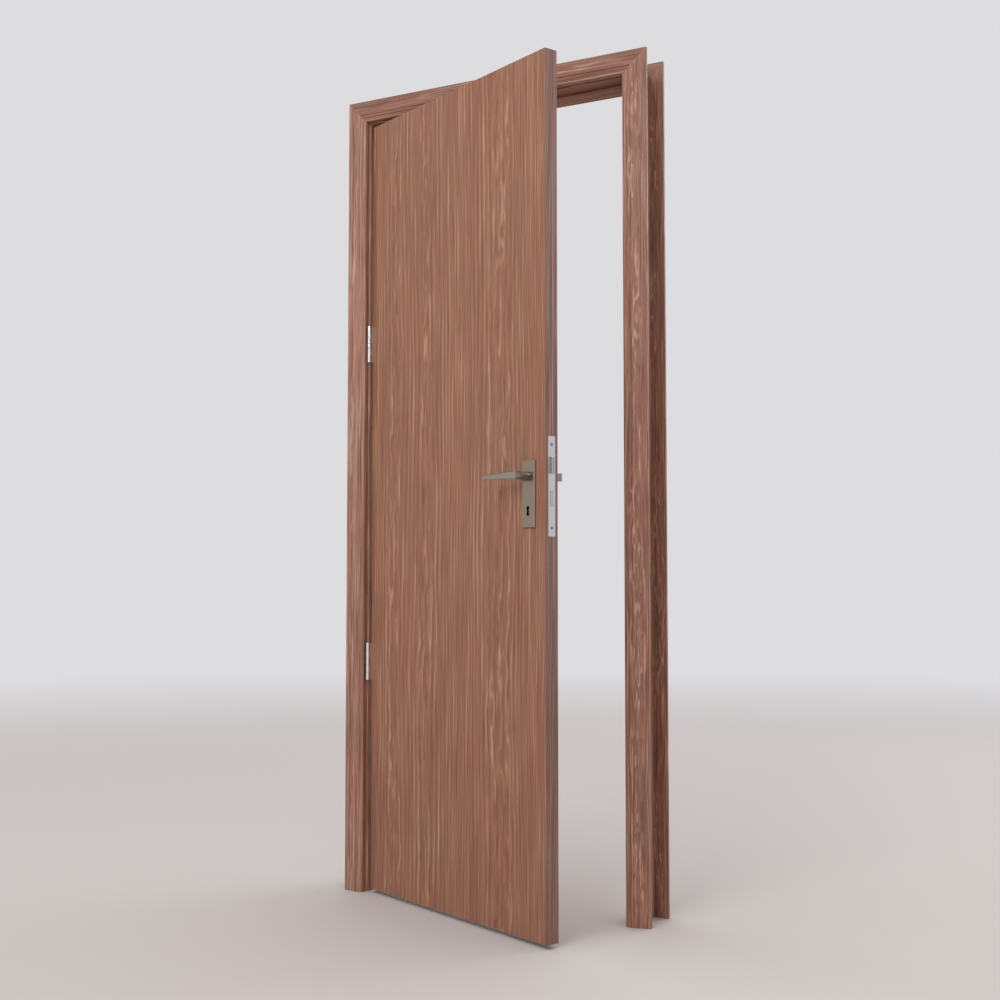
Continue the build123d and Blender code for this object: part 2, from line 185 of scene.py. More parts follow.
def new_material(name):
    """A fresh material with its node tree, its main shader and the point being shaded."""
    material = bpy.data.materials.new(name)
    material.use_nodes = True
    tree = material.node_tree
    shader = tree.nodes["Principled BSDF"]
    place = tree.nodes.new("ShaderNodeTexCoord").outputs["Object"]
    return material, tree, shader, place


# Wood: what all boards have in common, as (across, along the grain) sizes in millimetres and as
# shares of the tone, which runs from the dark colour at 0 to the pale one at 1
FIBRE_MM = (1.4, 55.0)
FIBRE_BY = 0.34
BAND_MM = (34.0, 620.0)
PORE_MM = (0.55, 9.0)
PORE_BY = -0.10
HUE_MM = (70.0, 260.0)
# Painted light: between these distances along the grain the tone rises, so upright boards are paler
# toward the top and darker at the foot
PAINTED_TOP_LIGHT_MM = (300.0, 1800.0)
LATE_LINE_SHIFT = -1.9
LATE_LINE_SHARPNESS = 3.0
RING_NOISE_STEP = 7.31
WOOD_RELIEF_MM = 0.06


def ring_count(tree, across, zones):
    """Number of growth rings from the start of the board to a place across it.

    zones lists (width of the zone, spacing of its rings) in millimetres.
    """
    points = [(0.0, 0.0)]
    for zone, spacing in zones:
        points.append((points[-1][0] + zone, points[-1][1] + zone / spacing))
    total_width, total_rings = points[-1]
    node = tree.nodes.new("ShaderNodeFloatCurve")
    curve = node.mapping.curves[0]
    node.mapping.extend = "EXTRAPOLATED"
    for _ in points[2:]:
        curve.points.new(0.5, 0.5)
    for point, (zone_end, rings) in zip(curve.points, points):
        point.location = (zone_end / total_width, rings / total_rings)
    node.mapping.update()
    put(tree, node.inputs["Value"], calc(tree, "DIVIDE", across, total_width))
    return calc(tree, "MULTIPLY", node.outputs[0], total_rings)


def board_layers(tree, place, across_axis, grain_axis, depth_axis, starts, zones, flames, look):
    """Colour, roughness and relief of a straight-grained board with flame figures.

    zones lists (width, ring spacing) and flames lists (centre, half width), in millimetres across
    the board. look holds the colours, the sizes of the layers and how strongly each one shows.
    """
    across = distance(tree, place, across_axis, starts[0])
    grain = distance(tree, place, grain_axis, starts[1])
    depth = distance(tree, place, depth_axis, starts[2])
    seed = look["seed"]

    def grain_noise(width_mm, length_mm, offset, detail=2.0):
        """Noise drawn out along the grain; each layer has an offset of its own."""
        x = calc(tree, "DIVIDE", across, width_mm)
        y = calc(tree, "DIVIDE", grain, length_mm)
        z = calc(tree, "ADD", calc(tree, "DIVIDE", depth, width_mm), seed + offset)
        return noise(tree, x, y, z, detail)

    # How far the rings wander from straight lines
    wander = calc(tree, "SUBTRACT", grain_noise(*look["wave"], 0.0, 1.0), 0.5)
    ripple = calc(tree, "SUBTRACT", grain_noise(*look["ripple"], 11.0, 2.0), 0.5)
    moved = calc(tree, "MULTIPLY_ADD", wander, look["wave_by"], across)
    moved = calc(tree, "MULTIPLY_ADD", ripple, look["ripple_by"], moved)
    moved = calc(tree, "MULTIPLY_ADD", depth, look["slant"], moved)
    rings = ring_count(tree, moved, zones)

    # Flames, where the board was cut along the rings
    flame_mask = 0.0
    for centre, half_width in flames:
        off = calc(tree, "DIVIDE", calc(tree, "SUBTRACT", moved, centre), half_width)
        square = calc(tree, "MULTIPLY", off, off)
        swell = calc(tree, "POWER", math.e, calc(tree, "MULTIPLY", square, -1.0))
        flame_mask = calc(tree, "ADD", flame_mask, swell)
    flame = calc(tree, "SUBTRACT", grain_noise(*look["flame"], 23.0, 1.5), 0.5)
    strength = calc(tree, "MULTIPLY_ADD", flame_mask, look["flame_rings"], look["plain_rings"])
    rings = calc(tree, "MULTIPLY_ADD", flame, strength, rings)

    # Each ring is a pale line of its own strength, with a thin dark one beside it
    ring_index = calc(tree, "FLOOR", rings)
    ring_phase = calc(tree, "MULTIPLY", calc(tree, "FRACT", rings), 2 * math.pi)

    def ring_line(shift, sharpness):
        turned = calc(tree, "COSINE", calc(tree, "ADD", ring_phase, shift))
        return calc(tree, "POWER", calc(tree, "MULTIPLY_ADD", turned, -0.5, 0.5), sharpness)

    line = ring_line(0.0, look["line_sharpness"])
    late_line = ring_line(LATE_LINE_SHIFT, LATE_LINE_SHARPNESS)
    ring_place = calc(tree, "MULTIPLY", ring_index, RING_NOISE_STEP)
    ring_length = calc(tree, "DIVIDE", grain, look["line_length"])
    ring_strength = remap(tree, noise(tree, ring_place, ring_length, seed), 0.32, 0.72)
    line = calc(tree, "MULTIPLY", line, ring_strength)

    # Fibres, soft bands, pale flecks and open pores
    fibre = grain_noise(*FIBRE_MM, 31.0, 2.0)
    streak = grain_noise(*look["streak"], 37.0, 2.0)
    thread = grain_noise(*look["thread"], 67.0, 1.0)
    band = grain_noise(*BAND_MM, 41.0, 1.0)
    fleck = remap(tree, grain_noise(*look["fleck"], 47.0, 1.0), 0.60, 0.74)
    fleck = calc(tree, "MULTIPLY", fleck, calc(tree, "MULTIPLY_ADD", flame_mask, 0.8, 0.2))
    pore = remap(tree, grain_noise(*PORE_MM, 53.0, 0.0), 0.66, 0.74)

    tone = calc(tree, "MULTIPLY_ADD", line, look["line_by"], look["base_tone"])
    layers = (
        (fibre, FIBRE_BY),
        (thread, look["thread_by"]),
        (streak, look["streak_by"]),
        (band, look["band_by"]),
    )
    for part, share in layers:
        tone = calc(tree, "MULTIPLY_ADD", calc(tree, "SUBTRACT", part, 0.5), share, tone)
    tone = calc(tree, "MULTIPLY_ADD", late_line, look["late_by"], tone)
    # Painted light and shade: paler up the grain, darker toward the foot
    tone = calc(tree, "MULTIPLY_ADD", remap(tree, grain, *PAINTED_TOP_LIGHT_MM), look["rise_by"], tone)
    tone = calc(tree, "MULTIPLY_ADD", fleck, look["fleck_by"], tone)
    tone = calc(tree, "MULTIPLY_ADD", pore, PORE_BY, tone)
    colour = ramp(tree, tone, (0.0, look["dark"]), (0.5, look["middle"]), (1.0, look["pale"]))
    hue = remap(tree, grain_noise(*HUE_MM, 59.0, 1.0), 0.35, 0.65)
    tint = ramp(tree, hue, (0.0, look["red_tint"]), (1.0, look["green_tint"]))
    colour = blend_colour(tree, "MULTIPLY", 1.0, colour, tint)
    roughness = remap(tree, fibre, 0.3, 0.7, look["gloss"], look["gloss"] + 0.12)
    relief = calc(tree, "SUBTRACT", calc(tree, "MULTIPLY", fibre, 0.6), pore)
    relief = calc(tree, "MULTIPLY_ADD", line, 0.5, relief)
    return colour, roughness, relief


def wood(name, board, veneer=None):
    """Material of a board, with a veneer on its faces that look out of the leaf and painted shade on
    the rounded arrises between them.
    """
    material, tree, shader, place = new_material(name)
    look = board[-1]
    colour, roughness, relief = board_layers(tree, place, *board)
    if veneer:
        outward = facing(tree, OUT)
        face = remap(tree, outward, *SQUARE)
        veneer_colour, _, veneer_relief = board_layers(tree, place, *veneer)
        colour = blend_colour(tree, "MIX", face, colour, veneer_colour)
        change = calc(tree, "SUBTRACT", veneer_relief, relief)
        relief = calc(tree, "MULTIPLY_ADD", change, face, relief)
        # Painted shade: rounded arrises, which face none of OUT, ALONG or UP squarely, are darkened
        sideways = calc(tree, "MAXIMUM", facing(tree, ALONG), facing(tree, UP))
        flat = calc(tree, "MAXIMUM", outward, sideways)
        rounded = calc(tree, "SUBTRACT", 1.0, remap(tree, flat, *NOT_ROUNDED))
        colour = blend_colour(tree, "MULTIPLY", rounded, colour, look["arris_tint"])
    put(tree, shader.inputs["Base Color"], colour)
    put(tree, shader.inputs["Roughness"], roughness)
    shader.inputs["IOR"].default_value = look["ior"]
    bump(tree, shader, relief, WOOD_RELIEF_MM)
    return material


LEAF_LOOK = {
    "seed": 3.0,
    "wave": (190.0, 760.0),
    "wave_by": 44.0,
    "ripple": (30.0, 170.0),
    "ripple_by": 4.0,
    "slant": 0.8,
    "flame": (15.0, 85.0),
    "flame_rings": 2.2,
    "plain_rings": 0.25,
    "line_sharpness": 2.8,
    "line_length": 360.0,
    "line_by": 0.50,
    "late_by": -0.15,
    "thread": (3.4, 260.0),
    "thread_by": 0.62,
    "rise_by": 0.06,
    "streak": (5.5, 150.0),
    "streak_by": 0.72,
    "band_by": 0.30,
    "base_tone": 0.34,
    "fleck": (6.0, 60.0),
    "fleck_by": 0.30,
    "dark": srgb(118, 73, 52),
    "middle": srgb(151, 104, 79),
    "pale": srgb(192, 145, 117),
    "red_tint": (1.02, 0.97, 0.96, 1.0),
    "green_tint": (0.97, 1.0, 0.98, 1.0),
    "gloss": 0.42,
    "ior": 1.45,
}
# Zones across the leaf from the hinges to the lock: (width, ring spacing)
LEAF_ZONES = ((80, 11), (75, 20), (65, 17), (95, 20), (190, 13), (100, 24), (102, 10.5))
LEAF_FLAMES = ((117, 34), (258, 30), (557, 44))

CASING_LOOK = dict(
    LEAF_LOOK,
    seed=17.0,
    wave=(60.0, 520.0),
    wave_by=16.0,
    ripple=(16.0, 120.0),
    flame=(10.0, 90.0),
    flame_rings=2.0,
    line_length=260.0,
    line_by=0.56,
    streak=(3.5, 120.0),
    streak_by=0.95,
    thread=(2.6, 150.0),
    thread_by=0.78,
    rise_by=0.12,
    base_tone=0.40,
    dark=srgb(118, 77, 62),
    middle=srgb(154, 111, 92),
    pale=srgb(198, 156, 137),
)
CASING_ZONES = ((16, 7), (26, 14), (20, 6))
CASING_FLAMES = ((30, 14),)

LINING_LOOK = dict(
    CASING_LOOK,
    seed=29.0,
    wave=(90.0, 600.0),
    wave_by=22.0,
    gloss=0.60,
    ior=1.25,
    rise_by=0.0,
)
LINING_ZONES = ((40, 10), (30, 18), (40, 9))
LINING_FLAMES = ((55, 20),)

LIPPING_LOOK = dict(
    LEAF_LOOK,
    seed=41.0,
    wave=(40.0, 700.0),
    wave_by=9.0,
    ripple_by=2.0,
    slant=0.0,
    plain_rings=0.4,
    line_by=0.62,
    streak=(4.5, 260.0),
    streak_by=1.05,
    thread=(3.0, 320.0),
    thread_by=0.55,
    rise_by=0.24,
    base_tone=0.24,
    dark=srgb(98, 70, 60),
    middle=srgb(138, 105, 93),
    pale=srgb(178, 147, 136),
    # Painted shade on the rounded arrises of the lippings
    arris_tint=(0.60, 0.50, 0.44, 1.0),
)
LIPPING_ZONES = ((12, 5), (12, 8), (11, 5))

# The ends get lighter painted shade on their arrises, and no painted light up the grain
END_LOOK = dict(LIPPING_LOOK, rise_by=0.0, arris_tint=(0.90, 0.88, 0.86, 1.0))

# A board is (across, grain, depth axes, their starts, ring zones, flames, look)
leaf_starts = (leaf_hinge_s, leaf_low, leaf_middle)
leaf_board = (ALONG, UP, OUT, leaf_starts, LEAF_ZONES, LEAF_FLAMES, LEAF_LOOK)
edge_starts = (-leaf_front, leaf_low, leaf_lock_s)
edge_board = (-OUT, UP, ALONG, edge_starts, LIPPING_ZONES, (), LIPPING_LOOK)
end_starts = (-leaf_front, leaf_hinge_s, leaf_low)
end_board = (-OUT, ALONG, UP, end_starts, LIPPING_ZONES, (), END_LOOK)
leaf_veneer = wood("leaf_veneer_wood", leaf_board)
leaf_edge = wood("leaf_edge_wood", edge_board, leaf_board)
leaf_end = wood("leaf_end_wood", end_board, leaf_board)

# Casings: the grain runs along each piece, and the rings are counted from its inner edge
left_inner = extent("front_hinge_casing", RIGHT)[1]
right_inner = extent("front_latch_casing", RIGHT)[0]
head_inner = extent("front_head_casing", UP)[0]
casing_back = extent("front_hinge_casing", INWARD)[1]

LATCH_LOOK = dict(
    CASING_LOOK,
    seed=19.0,
    flame_rings=6.0,
    slant=0.0,
    wave_by=30.0,
    base_tone=0.28,
    line_by=0.68,
)
HEAD_LOOK = dict(
    CASING_LOOK,
    seed=23.0,
    rise_by=0.0,
    base_tone=0.25,
    streak_by=0.70,
    thread_by=0.45,
)
hinge_starts = (-left_inner, 0, casing_back)
latch_starts = (right_inner, 0, casing_back)
head_starts = (head_inner, 0, casing_back)
casing_boards = {
    "hinge": (-RIGHT, UP, INWARD, hinge_starts, CASING_ZONES, CASING_FLAMES, CASING_LOOK),
    "latch": (RIGHT, UP, INWARD, latch_starts, CASING_ZONES, CASING_FLAMES, LATCH_LOOK),
    "head": (UP, RIGHT, INWARD, head_starts, CASING_ZONES, CASING_FLAMES, HEAD_LOOK),
}
casing_woods = {part: wood(f"{part}_casing_wood", board) for part, board in casing_boards.items()}
lining_pattern = ((casing_back, 0, 0), LINING_ZONES, LINING_FLAMES, LINING_LOOK)
side_lining = wood("side_lining_wood", (INWARD, UP, RIGHT, *lining_pattern))
head_lining = wood("head_lining_wood", (INWARD, RIGHT, UP, *lining_pattern))

# Chipboard core
CORE_SPECKS_PER_METRE = 420.0
core_board, core_tree, core_shader, core_place = new_material("core_board_wood")
core_speck = core_tree.nodes.new("ShaderNodeTexVoronoi")
core_speck.inputs["Scale"].default_value = CORE_SPECKS_PER_METRE
put(core_tree, core_speck.inputs["Vector"], core_place)
core_colour = ramp(
    core_tree, core_speck.outputs["Distance"], (0.0, srgb(150, 118, 84)), (1.0, srgb(206, 178, 138))
)
put(core_tree, core_shader.inputs["Base Color"], core_colour)
core_shader.inputs["Roughness"].default_value = 0.8

# Metal
BRUSH_STRETCH = 90
BRUSH_SHADE = 0.86
BRUSH_GLOSS = 0.12
SMUDGE_WIDTH_MM = 16.0
SMUDGE_LENGTH_MM = 24.0


def metal(
    name, colour, roughness, brush_axis, cross_axis, brush_mm, depth_mm, smudge, detail=None
):
    """Metal with fine brush lines along one axis and faint smudges in its gloss.

    detail takes the tree, the shaded point, the colour and the roughness, and returns the last two
    with painted light or shade on some faces.
    """
    material, tree, shader, place = new_material(name)
    lengthwise = distance(tree, place, brush_axis, 0.0)
    crosswise = distance(tree, place, cross_axis, 0.0)
    third = distance(tree, place, brush_axis.cross(cross_axis), 0.0)
    lines = noise(
        tree,
        calc(tree, "DIVIDE", crosswise, brush_mm),
        calc(tree, "DIVIDE", lengthwise, brush_mm * BRUSH_STRETCH),
        calc(tree, "DIVIDE", third, brush_mm),
        2.0,
    )
    cloud = noise(
        tree,
        calc(tree, "DIVIDE", crosswise, SMUDGE_WIDTH_MM),
        calc(tree, "DIVIDE", lengthwise, SMUDGE_LENGTH_MM),
        calc(tree, "DIVIDE", third, SMUDGE_WIDTH_MM),
        3.0,
    )
    gloss = remap(tree, cloud, 0.3, 0.7, roughness - smudge, roughness + smudge)
    gloss = calc(tree, "MULTIPLY_ADD", calc(tree, "SUBTRACT", lines, 0.5), BRUSH_GLOSS, gloss)
    dull = tuple(channel * BRUSH_SHADE for channel in colour[:3]) + (1.0,)
    base = ramp(tree, lines, (0.25, dull), (0.75, colour))
    if detail:
        base, gloss = detail(tree, place, base, gloss)
    put(tree, shader.inputs["Base Color"], base)
    put(tree, shader.inputs["Roughness"], gloss)
    shader.inputs["Metallic"].default_value = 1.0
    bump(tree, shader, lines, depth_mm)
    return material


def paint_light_over(tree, share, colour, added_roughness, base, gloss):
    """Paint a share of the metal with another colour, as painted light or shade, and give it a duller
    gloss.
    """
    base = blend_colour(tree, "MIX", share, base, colour)
    return base, calc(tree, "MULTIPLY_ADD", share, added_roughness, gloss)


# Where the backplate and its keyhole lie
backplate_low_s, backplate_high_s = extent("front_backplate", ALONG)
backplate_middle_s = (backplate_low_s + backplate_high_s) / 2
backplate_half_mm = (backplate_high_s - backplate_low_s) / 2 / MM
leaf_half_mm = (leaf_front - leaf_back) / 2 / MM
KEYHOLE_ABOVE_FOOT = 37 * MM
keyhole_middle_z = extent("front_backplate", UP)[0] + KEYHOLE_ABOVE_FOOT

# Between which distances painted light comes in or fades: the painted highlight on the sides from the
# plate's edge, the painted contact shadow from the leaf, the painted shade within the keyhole from its
# middle. The keyhole's wall goes by squareness to OUT.
SIDE_FADE_MM = (1.5, 0.8)
CONTACT_SHADOW_FADE_MM = (1.0, 2.2)
KEYHOLE_ACROSS_MM = (6.0, 6.5)
KEYHOLE_UPRIGHT_MM = (13.0, 14.0)
KEYHOLE_WALL = (0.3, 0.6)
# Colours of the painted highlight on the sides, of the painted contact shadow and of the painted shade
# within the keyhole
PAINTED_HIGHLIGHT_SIDE = srgb(222, 217, 211)
PAINTED_CONTACT_SHADOW = srgb(66, 48, 40)
KEYHOLE_PAINTED_SHADE = srgb(14, 13, 12)

# The levers turn from their front colour to a painted reflection, greyer and darker, on their sides
# between these squarenesses
LEVER_FRONT = 0.75
LEVER_TURNED = 0.35
LEVER_SIDE_PAINTED_REFLECTION = srgb(150, 148, 147)
# Painted shade for the hinges' ends and for the flat of the plate in the jamb
PAINTED_SHADE_STEEL = srgb(92, 88, 86)


def backplate_painted_light(tree, place, base, gloss):
    """Painted highlight on the sides, painted contact shadow where they meet the leaf, and painted
    shade within the keyhole.
    """
    off_middle = calc(tree, "ABSOLUTE", distance(tree, place, ALONG, backplate_middle_s))
    off_keyhole = calc(tree, "ABSOLUTE", distance(tree, place, UP, keyhole_middle_z))
    depth = calc(tree, "ABSOLUTE", distance(tree, place, OUT, leaf_middle))
    rise = calc(tree, "SUBTRACT", depth, leaf_half_mm)
    outer = remap(tree, off_middle, *(backplate_half_mm - inset for inset in SIDE_FADE_MM))
    # Painted highlight: the plate's sides are coloured pale
    side = calc(tree, "MULTIPLY", outer, remap(tree, facing(tree, ALONG), *SQUARE))
    base, gloss = paint_light_over(tree, side, PAINTED_HIGHLIGHT_SIDE, 0.35, base, gloss)
    # Painted contact shadow: the sides darken where they meet the leaf
    joint = calc(tree, "MULTIPLY", side, remap(tree, rise, *CONTACT_SHADOW_FADE_MM, 1.0, 0.0))
    base = blend_colour(tree, "MIX", joint, base, PAINTED_CONTACT_SHADOW)
    # Painted shade: the walls within the keyhole are coloured near black
    wall = remap(tree, facing(tree, OUT), *KEYHOLE_WALL, 1.0, 0.0)
    near = calc(tree, "MULTIPLY", remap(tree, off_middle, *KEYHOLE_ACROSS_MM, 1.0, 0.0), wall)
    level_with = remap(tree, off_keyhole, *KEYHOLE_UPRIGHT_MM, 1.0, 0.0)
    keyhole_shade = calc(tree, "MULTIPLY", near, level_with)
    return paint_light_over(tree, keyhole_shade, KEYHOLE_PAINTED_SHADE, 0.5, base, gloss)


def lever_painted_reflection(tree, place, base, gloss):
    """Painted reflection: greyer, darker and duller where the surface turns away from the front."""
    off_front = calc(tree, "SUBTRACT", facing(tree, OUT), LEVER_FRONT)
    turned = calc(tree, "DIVIDE", off_front, LEVER_TURNED - LEVER_FRONT)
    share = calc(tree, "MINIMUM", calc(tree, "MAXIMUM", turned, 0.0), 1.0)
    return paint_light_over(tree, share, LEVER_SIDE_PAINTED_REFLECTION, 0.14, base, gloss)


def hinge_painted_shade(tree, place, base, gloss):
    """Painted shade: dark, dull ends, and a dark, dull flat on the plate in the jamb."""
    ends = remap(tree, facing(tree, UP), *SQUARE)
    flat = remap(tree, facing(tree, RIGHT), *NEARLY_TRUE)
    return paint_light_over(tree, calc(tree, "MAXIMUM", ends, flat), PAINTED_SHADE_STEEL, 0.30, base, gloss)


satin_nickel = metal(
    "satin_nickel_metal", srgb(160, 148, 129), 0.24, UP, ALONG, 0.35, 0.004, 0.04, backplate_painted_light
)
lever_nickel = metal(
    "lever_nickel_metal", srgb(170, 160, 144), 0.20, ALONG, UP, 0.35, 0.003, 0.04, lever_painted_reflection
)
pale_steel = metal("pale_steel_metal", srgb(218, 218, 219), 0.33, UP, OUT, 0.30, 0.006, 0.05)
bolt_steel = metal("bolt_steel_metal", srgb(200, 202, 202), 0.42, ALONG, UP, 0.30, 0.006, 0.06)
chrome = metal(
    "bright_chrome_metal", srgb(240, 240, 242), 0.18, UP, ALONG, 0.30, 0.002, 0.03, hinge_painted_shade
)
lock_screw_steel = metal(
    "lock_screw_steel_metal", srgb(76, 76, 75), 0.40, UP, ALONG, 0.20, 0.004, 0.06
)
hinge_screw_steel = metal(
    "hinge_screw_steel_metal", srgb(178, 178, 177), 0.30, UP, ALONG, 0.20, 0.004, 0.06
)

WOODS = {
    "front_panel": leaf_veneer,
    "back_panel": leaf_veneer,
    "hinge_lipping": leaf_edge,
    "lock_lipping": leaf_edge,
    "top_lipping": leaf_end,
    "bottom_lipping": leaf_end,
    "leaf_core": core_board,
    "hinge_jamb": side_lining,
    "latch_jamb": side_lining,
    "head_jamb": head_lining,
    "hinge_stop": side_lining,
    "latch_stop": side_lining,
    "head_stop": head_lining,
}
for side in ("front", "back"):
    for part, material in casing_woods.items():
        WOODS[f"{side}_{part}_casing"] = material
METALS = {
    "front_backplate": satin_nickel,
    "back_backplate": satin_nickel,
    "front_lever": lever_nickel,
    "back_lever": lever_nickel,
    "spindle": bolt_steel,
    "lock_case": bolt_steel,
    "forend": pale_steel,
    "strike_plate": pale_steel,
    "latch_bolt": bolt_steel,
    "dead_bolt": bolt_steel,
}
for level in ("upper", "lower"):
    for part in ("hinge_jamb_plate", "hinge_leaf_plate", "hinge_pin"):
        METALS[f"{level}_{part}"] = chrome

for node, material in {**WOODS, **METALS}.items():
    for slot in frame["nodes"][node].material_slots:
        slot.material = material

# Small arrises, so that edges catch the light
ARRIS_MM = {
    "hinge_jamb": 0.6,
    "latch_jamb": 0.6,
    "forend": 0.25,
    "strike_plate": 0.25,
    "latch_bolt": 0.4,
    "dead_bolt": 0.4,
    "front_lever": 0.5,
    "back_lever": 0.5,
}
WELD_DISTANCE = 0.01 * MM
SHARP_DEGREES = 40
for node, width_mm in ARRIS_MM.items():
    weld = frame["nodes"][node].modifiers.new("weld", "WELD")
    weld.merge_threshold = WELD_DISTANCE
    bevel = frame["nodes"][node].modifiers.new("arris", "BEVEL")
    bevel.width = width_mm * MM
    bevel.segments = 2
    bevel.limit_method = "ANGLE"
    bevel.angle_limit = math.radians(SHARP_DEGREES)
    bevel.harden_normals = True

# Screws: how far the head stands proud, and its shape as shares of its radius
SCREW_STEPS = 32
SCREW_RISE = 0.10 * MM
SCREW_SHOULDER = 0.93
RECESS_MOUTH = (0.56, 0.13)
RECESS_FLOOR = (0.38, 0.09)
RECESS_DEPTH = 0.35


def screw_mesh(radius):
    """Flat screw head with a cross recess, its face just proud of z = 0."""
    shape = bmesh.new()

    def loop(points):
        return [shape.verts.new(point) for point in points]

    def circle(size, height):
        turns = [2 * math.pi * step / SCREW_STEPS for step in range(SCREW_STEPS)]
        return loop([(size * math.cos(turn), size * math.sin(turn), height) for turn in turns])

    def cross(reach_share, width_share, height):
        reach = radius * reach_share
        width = radius * width_share
        corner = [(reach, -width), (reach, width), (width, width)]
        points = []
        for quarter in range(4):
            turn = Matrix.Rotation(quarter * math.pi / 2, 2)
            points += [tuple(turn @ Vector(point)) + (height,) for point in corner]
        return loop(points)

    def bridge(first, second):
        for index in range(len(first)):
            after = (index + 1) % len(first)
            shape.faces.new((first[index], first[after], second[after], second[index]))

    rim = circle(radius, -SCREW_RISE)
    shoulder = circle(radius * SCREW_SHOULDER, SCREW_RISE)
    mouth = cross(*RECESS_MOUTH, SCREW_RISE)
    floor = cross(*RECESS_FLOOR, -radius * RECESS_DEPTH)
    bridge(rim, shoulder)
    bridge(mouth, floor)
    shape.faces.new(floor)
    edges = []
    for ring in (shoulder, mouth):
        for index, vertex in enumerate(ring):
            after = ring[(index + 1) % len(ring)]
            edges.append(shape.edges.get((vertex, after)))
    bmesh.ops.triangle_fill(shape, use_beauty=True, edges=edges)
    bmesh.ops.recalc_face_normals(shape, faces=shape.faces)
    mesh = bpy.data.meshes.new("screw_head")
    shape.to_mesh(mesh)
    shape.free()
    return mesh


def place_screw(name, kind, centre, normal, turn_degrees, body):
    """Set a screw head of a kind on a surface and let it move with its body."""
    mesh, steel, material_slot = kind
    screw = bpy.data.objects.new(name, mesh.copy())
    bpy.context.scene.collection.objects.link(screw)
    screw.data.materials.append(steel)
    turn = Matrix.Rotation(math.radians(turn_degrees), 4, "Z")
    facing_out = normal.to_track_quat("Z", "Y").to_matrix().to_4x4()
    screw.matrix_world = Matrix.Translation(centre) @ facing_out @ turn
    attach(screw, body)


def leaf_point(s, out, z):
    """A place given along the leaf, out of it and up."""
    return ALONG * s + OUT * out + UP * z


LOCK_SCREW_RADIUS = 3.4 * MM
HINGE_SCREW_RADIUS = 3.8 * MM
LOCK_SCREW = (screw_mesh(LOCK_SCREW_RADIUS), lock_screw_steel, "lock_steel")
HINGE_SCREW = (screw_mesh(HINGE_SCREW_RADIUS), hinge_screw_steel, "hinge_steel")
forend_low, forend_high = extent("forend", UP)
forend_face = extent("forend", ALONG)[1]
FOREND_SCREW_INSET = 18.7 * MM
for name, z, turn in (
    ("upper_forend_screw", forend_high - FOREND_SCREW_INSET, 12),
    ("lower_forend_screw", forend_low + FOREND_SCREW_INSET, 51),
):
    centre = leaf_point(forend_face, leaf_middle, z)
    place_screw(name, LOCK_SCREW, centre, ALONG, turn, "leaf")

strike_low, strike_high = extent("strike_plate", UP)
strike_face = extent("strike_plate", RIGHT)[0]
strike_y = casing_back + (leaf_front - leaf_back) / 2
for name, z, turn in (
    ("upper_strike_screw", strike_high - FOREND_SCREW_INSET, 33),
    ("lower_strike_screw", strike_low + FOREND_SCREW_INSET, 70),
):
    place_screw(name, LOCK_SCREW, Vector((strike_face, strike_y, z)), -RIGHT, turn, "frame")

# Name, height as a share of the plate's, and inset from its back edge in millimetres
HINGE_SCREWS = (("high", 0.36, 9.0), ("middle", 0.0, 16.0), ("low", -0.36, 9.0))
FIRST_JAMB_TURN = 20
JAMB_TURN_STEP = 31
LEAF_TURN_STEP = 47
jamb_face = extent("hinge_jamb", RIGHT)[1]
for level in ("upper", "lower"):
    plate_low, plate_high = extent(f"{level}_hinge_jamb_plate", UP)
    plate_z = (plate_low + plate_high) / 2
    plate_back = extent(f"{level}_hinge_jamb_plate", INWARD)[1]
    leaf_plate_back = extent(f"{level}_hinge_leaf_plate", OUT)[0]
    for index, (height, share, inset_mm) in enumerate(HINGE_SCREWS):
        z = plate_z + share * (plate_high - plate_low)
        inset = inset_mm * MM
        jamb_place = Vector((jamb_face, plate_back - inset, z))
        jamb_turn = FIRST_JAMB_TURN + JAMB_TURN_STEP * index
        place_screw(f"{level}_jamb_screw_{height}", HINGE_SCREW, jamb_place, RIGHT, jamb_turn, "frame")
        leaf_place = leaf_point(leaf_hinge_s, leaf_plate_back + inset, z)
        leaf_turn = LEAF_TURN_STEP * index
        place_screw(f"{level}_leaf_screw_{height}", HINGE_SCREW, leaf_place, -ALONG, leaf_turn, "leaf")

# Stage: a pale floor that fades into the background far from the door
BACKDROP = srgb(221, 220, 223)
FLOOR_RADIUS = 40.0
FLOOR_SEGMENTS = 48
FLOOR_MIDDLE_X = 0.4
FLOOR_GAP = 0.5 * MM
FLOOR_FADE = (2.2, 9.0)


def make_floor():
    """Add a wide disc under the door that turns to the backdrop's colour with distance."""
    shape = bmesh.new()
    bmesh.ops.create_circle(shape, cap_ends=True, radius=FLOOR_RADIUS, segments=FLOOR_SEGMENTS)
    mesh = bpy.data.meshes.new("stage_floor")
    shape.to_mesh(mesh)
    shape.free()
    floor = bpy.data.objects.new("stage_floor", mesh)
    bpy.context.scene.collection.objects.link(floor)
    floor.location = (FLOOR_MIDDLE_X, 0.0, cad_low.z - FLOOR_GAP)
    material, tree, shader, place = new_material("stage_floor_paint")
    shader.inputs["Base Color"].default_value = srgb(203, 196, 192)
    shader.inputs["Roughness"].default_value = 0.75
    far = tree.nodes.new("ShaderNodeEmission")
    far.inputs["Color"].default_value = BACKDROP
    length = tree.nodes.new("ShaderNodeVectorMath")
    length.operation = "LENGTH"
    put(tree, length.inputs[0], place)
    mix = tree.nodes.new("ShaderNodeMixShader")
    put(tree, mix.inputs[0], remap(tree, length.outputs["Value"], *FLOOR_FADE))
    put(tree, mix.inputs[1], shader.outputs[0])
    put(tree, mix.inputs[2], far.outputs[0])
    put(tree, tree.nodes["Material Output"].inputs["Surface"], mix.outputs[0])
    mesh.materials.append(material)


make_floor()

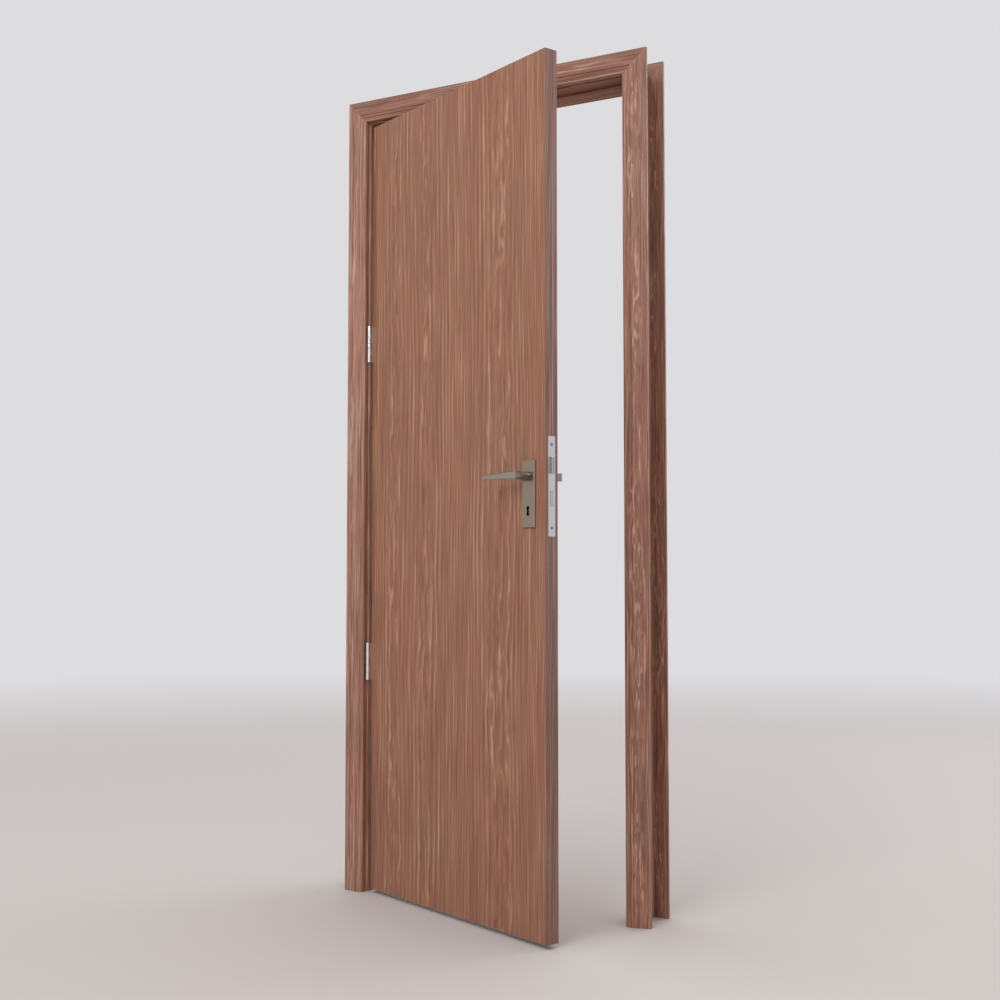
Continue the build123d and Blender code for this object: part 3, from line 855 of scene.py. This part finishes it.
world = bpy.data.worlds.new("studio")
bpy.context.scene.world = world
world.use_nodes = True
world_tree = world.node_tree
sky = world_tree.nodes.new("ShaderNodeTexCoord").outputs["Generated"]
split = world_tree.nodes.new("ShaderNodeSeparateXYZ")
put(world_tree, split.inputs[0], sky)
sky_colour = ramp(
    world_tree,
    calc(world_tree, "MULTIPLY_ADD", split.outputs[2], 0.5, 0.5),
    (0.0, srgb(150, 146, 143)),
    (0.40, BACKDROP),
    (0.68, BACKDROP),
    (1.0, srgb(250, 250, 252)),
)
put(world_tree, world_tree.nodes["Background"].inputs["Color"], sky_colour)


def soft_light(name, place, target, size, watts, colour):
    """Rectangular light at a place, aimed at a target."""
    data = bpy.data.lights.new(name, "AREA")
    data.shape = "RECTANGLE"
    data.size, data.size_y = size
    data.energy = watts
    data.color = colour
    light = bpy.data.objects.new(name, data)
    light.location = place
    light.rotation_euler = (Vector(target) - Vector(place)).to_track_quat("-Z", "Y").to_euler()
    bpy.context.scene.collection.objects.link(light)


soft_light("key", (0.5, -4.6, 3.4), (0.4, -0.1, 1.2), (2.6, 2.0), 88.0, (1.0, 0.985, 0.97))
soft_light("rear", (2.4, 3.6, 3.2), (0.4, 0.0, 1.2), (2.6, 2.0), 40.0, (1.0, 0.99, 0.98))

# Camera: placed from the foot of the front casing's outer left edge, level with its back
CAMERA_LENS_MM = 50
CAMERA_SENSOR_MM = 36
CAMERA_FROM_CORNER = Vector((2.0899, -3.0096, 0.8063))
CAMERA_TURN_DEGREES = 28.557
CAMERA_TILT_DEGREES = 3.15
casing_corner = Vector((cad_low.x, casing_back, cad_low.z))
camera_data = bpy.data.cameras.new("camera")
camera_data.lens = CAMERA_LENS_MM
camera_data.sensor_width = CAMERA_SENSOR_MM
camera = bpy.data.objects.new("camera", camera_data)
camera.location = casing_corner + CAMERA_FROM_CORNER
camera.rotation_euler = (
    math.radians(90 + CAMERA_TILT_DEGREES), 0, math.radians(CAMERA_TURN_DEGREES),
)
bpy.context.scene.collection.objects.link(camera)
bpy.context.scene.camera = camera
bpy.context.scene.view_settings.view_transform = "Standard"
